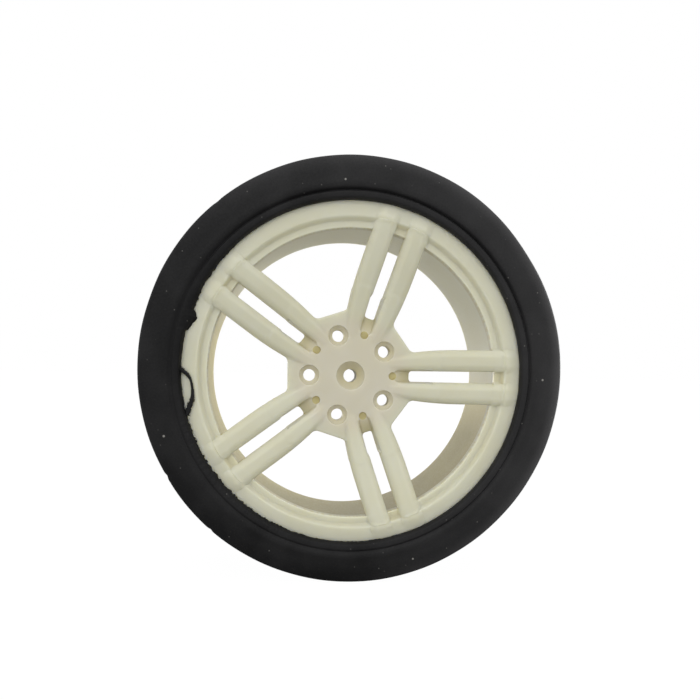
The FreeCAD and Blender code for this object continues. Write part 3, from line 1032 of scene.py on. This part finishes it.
        # Painted shade on the ledge between the twin spokes.
        between = 0.12 * (v < self.slot_side(u)) * (radius > self.ledge_radius) * (radius < self.step_radius)
        return np.clip(np.maximum(np.maximum(sunk, pit), 0.1 * foot + between), 0.0, 1.0)

    def face_shell(self) -> Shell:
        """Build the hub, spokes, ledge and lip as a relief with a back and side walls.

        Returns:
            One closed shell of ten mirrored and turned half sectors.
        """
        outline = self.outline()
        guides = self.guide_lines(outline)
        outline = [
            (line if wall else self.seam(line, guides), size, wall) for line, size, wall in outline
        ]
        walls = [(line, size) for line, size, wall in outline if wall]
        front, front_faces = self.sector(outline, guides, self.fine * 1.3)
        back, back_faces = self.sector(outline, [], self.coarse)
        heights = self.relief(front, walls)
        edge = np.concatenate([line for line, _, wall in outline if wall])
        edge = edge.astype(np.float32).astype(float)
        spans = [len(line) for line, _, wall in outline if wall]
        links = np.concatenate([
            np.arange(start, start + span - 1)
            for start, span in zip(np.concatenate([[0], np.cumsum(spans)[:-1]]), spans)
        ])
        wall_faces = np.stack([links, links + len(edge), links + 1 + len(edge), links + 1], 1)
        points, faces, shades, base = [], [], [], 0
        for turn in range(5):
            for mirror in (False, True):
                group = [
                    self.spread(front, heights, turn, mirror),
                    self.spread(back, self.back_height(back), turn, mirror),
                    self.spread(edge, self.relief(edge, walls), turn, mirror),
                    self.spread(edge, self.back_height(edge), turn, mirror),
                ]
                points.extend(group)
                shades.append(self.face_shade(front, heights))
                # Painted shade: the back and the side walls get a fixed yellower tone.
                shades.append(np.full(len(back), 0.35))
                shades.append(np.full(2 * len(edge), 0.3))
                order = slice(None, None, -1) if mirror else slice(None)
                faces.append((front_faces + base)[:, order])
                faces.append((back_faces + base + len(front))[:, ::-1][:, order])
                faces.append((wall_faces + base + len(front) + len(back))[:, order])
                base += sum(len(part) for part in group)
        points, shade = np.concatenate(points), np.concatenate(shades)
        total = sum(signed_volume(points, group) for group in faces)
        if total < 0:
            faces = [group[:, ::-1] for group in faces]
        LOG.info("face shell: %d points, volume %.1f cubic mm", len(points), abs(total))
        return Shell(points, faces, shade)

    def barrel_shell(self) -> Shell:
        """Turn the barrel with its seat, back flange and mouth, with painted shade on its inner wall."""
        seat_end = self.lip_height - self.flange_fall - 1.8
        mouth_floor = self.lip_height - 5.0
        under = self.lip_height - self.step_depth - self.lip_thick
        flare = self.barrel_radius - self.ledge_radius
        profile = rounded([
            (self.seat_radius - 0.2, -self.lip_height + 1.0, 0.0),
            (self.seat_radius, -seat_end, 0.0),
            (self.seat_radius, seat_end, 0.3),
            (self.flange_radius, self.lip_height - self.flange_fall - 1.0, 0.15),
            (self.flange_radius, self.lip_height - self.flange_fall, 0.2),
            (self.step_radius + self.lip_flat, self.lip_height, 0.3),
            (self.mouth_radius, self.lip_height, 0.2),
            (self.mouth_radius, mouth_floor, 0.15),
            (self.barrel_radius, mouth_floor - 0.4, 0.15),
            (self.barrel_radius, -under + flare, 0.3),
            (self.ledge_radius + 0.03, -under, 0.0),
            (self.ledge_radius + 0.03, -under - 0.3, 0.0),
        ])
        count = 320
        points = turned(profile, count)
        faces = outward(points, torus_faces(count, len(profile)))
        # Painted shade: the inner wall is darker and yellower from the left round the bottom to the lower
        # right and lightest at the upper right, where light falls; the outside gets a faint fixed tone.
        inner = np.hypot(points[:, 0], points[:, 2]) < self.mouth_radius + 0.1
        turn = np.degrees(np.arctan2(points[:, 2], points[:, 0])) % 360.0
        places = [0.0, 25.0, 60.0, 100.0, 140.0, 180.0, 235.0, 270.0, 300.0, 335.0, 360.0]
        values = [0.12, 0.0, 0.0, 0.05, 0.12, 0.62, 0.85, 1.0, 1.0, 0.85, 0.12]
        shade = np.where(inner, np.interp(turn, places, values), 0.15)
        return Shell(points, [faces], shade)

    def boss_shell(self) -> Shell:
        """Build the shaft boss: a turned body whose socket has two flats.

        The socket's wall lies at the smaller of the shaft's radius and flat / |sin a|.
        """
        angles = np.linspace(0.0, 2.0 * math.pi, 160, endpoint=False)
        socket = np.minimum(self.shaft_radius, self.shaft_flat / np.maximum(np.abs(np.sin(angles)), 1e-6))
        plain = np.ones_like(angles)
        start, end = -self.hub_back - 0.4, self.boss_back
        path = [
            (plain * self.bore_radius, start), (plain * self.boss_radius, start),
            (plain * self.boss_radius, end - 0.5), (plain * (self.boss_radius - 0.15), end - 0.15),
            (plain * (self.boss_radius - 0.5), end), (socket + 0.25, end), (socket, end - 0.25),
            (socket, self.shaft_end), (plain * self.bore_radius, self.shaft_end),
        ]
        points = np.concatenate([
            np.stack([radius * np.cos(angles), 0.0 * angles + height, radius * np.sin(angles)], 1)
            for radius, height in path
        ])
        faces = outward(points, torus_faces(len(path), len(angles)))
        # Painted shade: the boss gets a fixed yellower tone.
        return Shell(points, [faces], np.full(len(points), 0.3))

    def build(self, material: bpy.types.Material) -> bpy.types.Object:
        """Make the rim and put it in the place of its solid.

        Args:
            material: The plastic.

        Returns:
            The rim's object.
        """
        shells = [self.face_shell(), self.barrel_shell(), self.boss_shell()]
        piece = make_object("rim_moulding", shells, 38.0, merge=0.0015)
        piece.data.materials.append(material)
        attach(piece, "root")
        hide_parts("rim")
        return piece


@dataclass
class Tyre:
    """The rubber tyre: a turned channel with a bead ring, a crease, dents and a ragged front edge.

    Radii and heights are in millimetres, and the front lies at negative heights.
    """

    radius: float = 32.5
    half_width: float = 13.0
    shoulder: float = 3.3
    shoulder_drop: float = 1.1
    opening: float = 26.05
    bead_top: float = 12.84
    bead_under: float = 11.66
    hook: float = 10.4
    channel: float = 9.6
    crease: float = 27.45
    seat: float = 25.13
    flange: float = 26.83
    lip_height: float = 11.9
    seed: int = 11
    rings: int = 1000
    ragged: tuple = (128.0, 296.0)
    tongue_place: float = 162.0
    tongue_half: float = 3.6
    tongue_reach: float = 0.78
    loop: tuple = (
        (178.4, 26.2, 0.42), (179.4, 25.55, 0.34), (180.4, 25.0, 0.26), (181.8, 24.6, 0.2),
        (183.6, 24.42, 0.18), (186.0, 24.38, 0.2), (188.2, 24.5, 0.28), (189.8, 24.75, 0.38),
        (190.8, 25.1, 0.4), (192.4, 25.5, 0.38), (194.4, 25.95, 0.42),
    )

    def angles(self) -> np.ndarray:
        """Angles of the profile's copies, packed closer along the ragged stretch of the bead."""
        start, end = self.ragged
        inner = int(self.rings * 0.66)
        first = np.linspace(start, end, inner, endpoint=False)
        second = np.linspace(end, start + 360.0, self.rings - inner, endpoint=False)
        return np.radians(np.concatenate([first, second]))

    def profile(self) -> np.ndarray:
        """Closed section of the tyre as (radius, height) points, the front first."""
        wide, round_size = self.half_width, self.shoulder
        front = [
            (self.flange, -self.hook, 0.0),
            (self.flange, -11.43, 0.0),
            (self.opening, -self.bead_under, 0.0),
            (self.opening, -12.2, 0.16),
            (self.opening + 0.3, -12.74, 0.2),
            (self.crease - 0.3, -self.bead_top, 0.12),
            (self.crease - 0.05, -12.25, 0.14),
            (self.crease + 0.3, -12.9, 0.2),
            (self.crease + 0.9, -wide, 0.3),
            (self.radius - round_size, -wide, 0.4),
        ]
        turn = np.radians(np.linspace(-90.0, 0.0, 15))
        bend = [(self.radius - round_size + round_size * math.cos(angle),
                 -wide + self.shoulder_drop * (1.0 + math.sin(angle)), 0.0) for angle in turn]
        front = front[:-1] + bend
        tread = [(self.radius, height, 0.0) for height in (-7.0, 0.0, 7.0)]
        back = [(across, -along, size) for across, along, size in reversed(front)]
        channel = [(self.seat, self.channel, 0.0), (self.seat, -self.channel, 0.0)]
        return rounded(front + tread + back + channel, 4)

    def flash(self, angle: np.ndarray) -> np.ndarray:
        """How far the bead's torn edge reaches in over the lip, in millimetres.

        Args:
            angle: Angles about the axis in degrees.

        Returns:
            Sharp random teeth along the ragged stretch, and one curled tongue.
        """
        chance = np.random.default_rng(self.seed)
        knots = np.arange(0.0, 361.0, 0.55)
        teeth = chance.random(len(knots)) ** 2.2
        lumps = np.interp(angle, np.arange(0.0, 361.0, 4.0), chance.random(91))
        start, end = self.ragged
        zone = smooth_step(angle, start, start + 8.0) * (1.0 - smooth_step(angle, end - 12.0, end))
        strong = 0.10 + 0.26 * smooth_step(angle, 190.0, 200.0) * (1.0 - smooth_step(angle, 225.0, 262.0))
        strong = strong + 0.10 * np.exp(-((angle - 150.0) / 9.0) ** 2)
        saw = np.interp(angle, knots, teeth) * strong + 0.05 * lumps
        away = (angle - self.tongue_place) / self.tongue_half
        tongue = self.tongue_reach * np.sqrt(np.clip(1.0 - away ** 2, 0.0, None))
        tongue = tongue + 0.25 * smooth_step(angle, 150.0, 158.0) * (1.0 - smooth_step(angle, 160.0, 162.0))
        return saw * zone + tongue * (0.84 + 0.4 * np.interp(angle, knots, teeth))

    def sheen_share(self, points: np.ndarray) -> np.ndarray:
        """Share of the painted sheen on the shoulder, where light falls from the right: strong at the right,
        none at the left.
        """
        turn = np.degrees(np.arctan2(points[:, 2], points[:, 0])) % 360.0
        places = [0.0, 60.0, 110.0, 150.0, 270.0, 320.0, 360.0]
        return np.interp(turn, places, [1.0, 0.7, 0.3, 0.0, 0.0, 0.7, 1.0])

    def surface(self) -> np.ndarray:
        """Work out the tyre's points: the section carried round, with flash, waves and dents.

        Returns:
            The points, section by section.
        """
        profile, angle = self.profile(), self.angles()
        degrees = np.degrees(angle) % 360.0
        radius = np.repeat(profile[None, :, 0], len(angle), 0)
        height = np.repeat(profile[None, :, 1], len(angle), 0)
        flash = self.flash(degrees)[:, None]
        front = height < -11.0
        near = front * np.clip((self.opening + 0.75 - radius) / 0.75, 0.0, 1.0)
        radius = radius - flash * near
        thin = np.clip(flash * 1.1, 0.0, 0.5) * near * (height < -12.0)
        under = near * (height > -11.8) * np.clip(flash * 0.21, 0.0, 0.22)
        height = height + thin - under
        wave = 0.05 * np.sin(3.0 * angle + 0.6) + 0.03 * np.sin(7.0 * angle + 2.0)
        wave = wave + 0.02 * np.sin(12.0 * angle)
        face = smooth_step(radius, self.crease + 0.8, self.crease + 2.0) * np.sign(height)
        calm = 1.0 - smooth_step(radius, self.radius - 1.2, self.radius)
        height = height - (wave[:, None] + 0.1) * face * calm * (np.abs(height) > 9.0)
        level = -self.half_width + 0.16
        crease = (np.abs(radius - self.crease) < 0.6) & (height < -11.9) & (height > level)
        closed = (1.0 - self.crease_share(degrees)[:, None]) * crease
        height = height + (level - height) * closed
        outer = smooth_step(radius, self.radius - 3.0, self.radius)
        radius = radius - self.dents(degrees)[:, None] * outer
        cosine, sine = np.cos(angle)[:, None], np.sin(angle)[:, None]
        return np.stack([radius * cosine, height, radius * sine], 2).reshape(-1, 3)

    def crease_share(self, degrees: np.ndarray) -> np.ndarray:
        """Depth of the crease at each angle: full at the upper right, nearly closed at the left."""
        places = [0.0, 30.0, 60.0, 100.0, 130.0, 155.0, 270.0, 300.0, 335.0, 360.0]
        values = [0.6, 0.9, 1.0, 0.9, 0.6, 0.2, 0.25, 0.45, 0.5, 0.6]
        return np.interp(degrees, places, values)

    def dents(self, degrees: np.ndarray) -> np.ndarray:
        """How far the tread is pressed in at each angle, in millimetres."""
        def dip(place: float, depth: float, spread: float) -> np.ndarray:
            """One dent with a bell-shaped outline."""
            gap = (degrees - place + 180.0) % 360.0 - 180.0
            return depth * np.exp(-(gap / spread) ** 2)

        soft = dip(36.0, 0.16, 11.0) + dip(160.0, 0.05, 7.0) + dip(208.0, 0.05, 8.0)
        sharp = dip(209.0, 0.14, 0.7) + dip(228.0, 0.12, 0.6) + dip(129.0, 0.06, 1.0)
        return soft + sharp + 0.008 * (1.0 + np.sin(np.radians(degrees) * 23.0))

    def loop_shell(self) -> Shell:
        """Torn strand that hangs off the bead in a loop: an oval carried along a curved path."""
        corner = np.array(self.loop)
        share = np.linspace(0.0, 1.0, len(corner))
        dense = np.linspace(0.0, 1.0, 110)
        blur = np.hanning(15)
        blur = blur / blur.sum()
        degrees, radius, size = [
            np.convolve(np.pad(np.interp(dense, share, corner[:, column]), 7, mode="edge"), blur, "valid")
            for column in range(3)
        ]
        chance = np.random.default_rng(self.seed + 1)
        size = size * (0.7 + 0.6 * chance.random(len(dense)))
        angle = np.radians(degrees)
        middle = np.stack([radius * np.cos(angle), radius * np.sin(angle)], 1)
        way = np.gradient(middle, axis=0)
        way = way / np.hypot(way[:, 0], way[:, 1])[:, None]
        side = np.stack([-way[:, 1], way[:, 0]], 1)
        turn = np.linspace(0.0, 2.0 * math.pi, 14, endpoint=False)
        across = size[:, None] * np.cos(turn)[None]
        lift = 0.16 + 0.17 * np.sin(turn)[None] + 0.0 * across
        flat = middle[:, None, :] + across[:, :, None] * side[:, None, :]
        top = self.lip_height + lift
        body = np.stack([flat[:, :, 0], -top, flat[:, :, 1]], 2).reshape(-1, 3)
        rows, around = len(dense), len(turn)
        faces = torus_faces(rows, around)[: (rows - 1) * around]
        ends = body.reshape(rows, around, 3)[[0, -1]].mean(1)
        points = np.concatenate([body, ends])
        ring = np.arange(around)
        cap_one = np.stack([ring, (ring + 1) % around, np.full(around, len(body))], 1)[:, ::-1]
        last = (rows - 1) * around
        cap_two = np.stack([last + ring, last + (ring + 1) % around, np.full(around, len(body) + 1)], 1)
        groups = [faces[:, ::-1], cap_one[:, ::-1], cap_two[:, ::-1]]
        if sum(signed_volume(points, group) for group in groups) < 0:
            groups = [group[:, ::-1] for group in groups]
        return Shell(points, groups, np.zeros(len(points)))

    def build(self, material: bpy.types.Material) -> bpy.types.Object:
        """Make the tyre and put it in the place of its solid.

        Args:
            material: The rubber.

        Returns:
            The tyre's object.
        """
        points = self.surface()
        count = len(self.profile())
        faces = outward(points, torus_faces(self.rings, count))
        radius = np.hypot(points[:, 0], points[:, 2])
        # Painted sheen: a grey tone rising toward the shoulder, strong at the right and none at the left.
        shade = 0.07 + 0.03 * smooth_step(radius, self.crease, self.radius - 2.5)
        shade = shade + 0.22 * smooth_step(radius, self.radius - 2.4, self.radius - 0.1) ** 1.5
        shade = shade * self.sheen_share(points)
        shells = [Shell(points, [faces], np.clip(shade, 0.0, 1.0)), self.loop_shell()]
        piece = make_object("tyre_rubber", shells, 48.0)
        piece.data.materials.append(material)
        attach(piece, "root")
        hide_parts("tyre")
        return piece


@dataclass(frozen=True)
class Lamp:
    """A soft rectangular lamp that looks at the wheel."""

    name: str
    place: tuple
    size: float
    power: float
    tint: tuple = (1.0, 1.0, 1.0)


@dataclass
class Studio:
    """White floor and surroundings, soft lamps, and the camera at the photograph's angle."""

    floor_height: float = -32.5
    floor_reach: float = 6000.0
    floor_grey: float = 0.5
    floor_white: float = 1.03
    floor_share: float = 0.96
    sky: float = 0.93
    camera_place: tuple = (-8.318, -119.616, 0.537)
    camera_aim: tuple = (-1.311, 0.0, -13.664)
    camera_roll: float = 0.907
    lens: float = 36.0
    shift: tuple = (0.0171, 0.15)
    lamps: tuple = (
        Lamp("key_lamp", (-130.0, -570.0, 420.0), 900.0, 1.9),
        Lamp("side_lamp", (400.0, 190.0, 90.0), 280.0, 1.1),
        Lamp("back_lamp", (-170.0, 320.0, -15.0), 60.0, 0.25),
    )

    def build_camera(self) -> bpy.types.Object:
        """Stand the camera close in front, a little left of the axis, as the photograph's was."""
        data = bpy.data.cameras.new("camera")
        data.sensor_width = 36.0
        data.lens = self.lens
        data.shift_x, data.shift_y = self.shift
        data.clip_start = 0.005
        data.clip_end = 20.0
        camera = bpy.data.objects.new("camera", data)
        place, aim = Vector(self.camera_place) * MM, Vector(self.camera_aim) * MM
        look = (aim - place).to_track_quat("-Z", "Y").to_matrix().to_4x4()
        roll = Matrix.Rotation(math.radians(self.camera_roll), 4, "Z")
        camera.matrix_world = Matrix.Translation(place) @ look @ roll
        bpy.context.scene.collection.objects.link(camera)
        bpy.context.scene.camera = camera
        return camera

    def build_lamps(self) -> None:
        """Hang the lamps and turn each toward the wheel."""
        for lamp in self.lamps:
            data = bpy.data.lights.new(lamp.name, "AREA")
            data.shape = "SQUARE"
            data.size = lamp.size * MM
            data.energy = lamp.power
            data.color = lamp.tint
            thing = bpy.data.objects.new(lamp.name, data)
            place = Vector(lamp.place) * MM
            thing.location = place
            thing.visible_camera = False
            thing.rotation_mode = "QUATERNION"
            thing.rotation_quaternion = (-place).to_track_quat("-Z", "Y")
            bpy.context.scene.collection.objects.link(thing)

    def build_world(self) -> None:
        """Make the surroundings white to the camera and through glass, and soft as a light."""
        world = bpy.data.worlds.new("surroundings")
        bpy.context.scene.world = world
        world.use_nodes = True
        sheet = NodeSheet(world.node_tree)
        ground = world.node_tree.nodes["Background"]
        path = sheet.add("ShaderNodeLightPath")
        seen = sheet.math("MAXIMUM", path.outputs["Is Camera Ray"], path.outputs["Is Transmission Ray"])
        strength = sheet.add("ShaderNodeMapRange")
        for socket, value in zip(strength.inputs, (seen, 0.0, 1.0, self.sky, 1.0)):
            sheet.feed(socket, value)
        ground.inputs["Color"].default_value = (1.0, 1.0, 1.0, 1.0)
        sheet.feed(ground.inputs["Strength"], strength.outputs[0])

    def build_floor(self) -> None:
        """Lay the white floor: mostly its own white to the camera, with the wheel's faint shadow."""
        mesh = bpy.data.meshes.new("floor")
        reach, level = self.floor_reach * MM, self.floor_height * MM
        signs = ((-1.0, -1.0), (1.0, -1.0), (1.0, 1.0), (-1.0, 1.0))
        mesh.from_pydata([(reach * x, reach * y, level) for x, y in signs], [], [(0, 1, 2, 3)])
        floor = bpy.data.objects.new("floor", mesh)
        bpy.context.scene.collection.objects.link(floor)
        material = bpy.data.materials.new("floor_white")
        material.use_nodes = True
        tree = material.node_tree
        tree.nodes.clear()
        sheet = NodeSheet(tree)
        output = sheet.add("ShaderNodeOutputMaterial")
        matte = sheet.add("ShaderNodeBsdfDiffuse")
        matte.inputs["Color"].default_value = (self.floor_grey,) * 3 + (1.0,)
        white = sheet.add("ShaderNodeEmission")
        white.inputs["Strength"].default_value = self.floor_white
        path = sheet.add("ShaderNodeLightPath")
        share = sheet.math("MULTIPLY", path.outputs["Is Camera Ray"], self.floor_share)
        blend = sheet.add("ShaderNodeMixShader")
        sheet.feed(blend.inputs[0], share)
        tree.links.new(matte.outputs[0], blend.inputs[1])
        tree.links.new(white.outputs[0], blend.inputs[2])
        tree.links.new(blend.outputs[0], output.inputs["Surface"])
        mesh.materials.append(material)

    def build(self) -> None:
        """Build everything around the wheel."""
        bpy.context.scene.view_settings.view_transform = "Standard"
        self.build_camera()
        self.build_lamps()
        self.build_world()
        self.build_floor()


def main() -> None:
    """Build the wheel's two pieces and the studio around them."""
    logging.basicConfig(level=logging.INFO, format="%(name)s: %(message)s")
    grain = surface_grain()
    Studio().build()
    for maker, finish in ((Rim(), PlasticFinish()), (Tyre(), RubberFinish())):
        piece = maker.build(finish.material(grain))
        LOG.info("%s: %d faces", piece.name, len(piece.data.polygons))


if __name__ == "__main__":
    main()
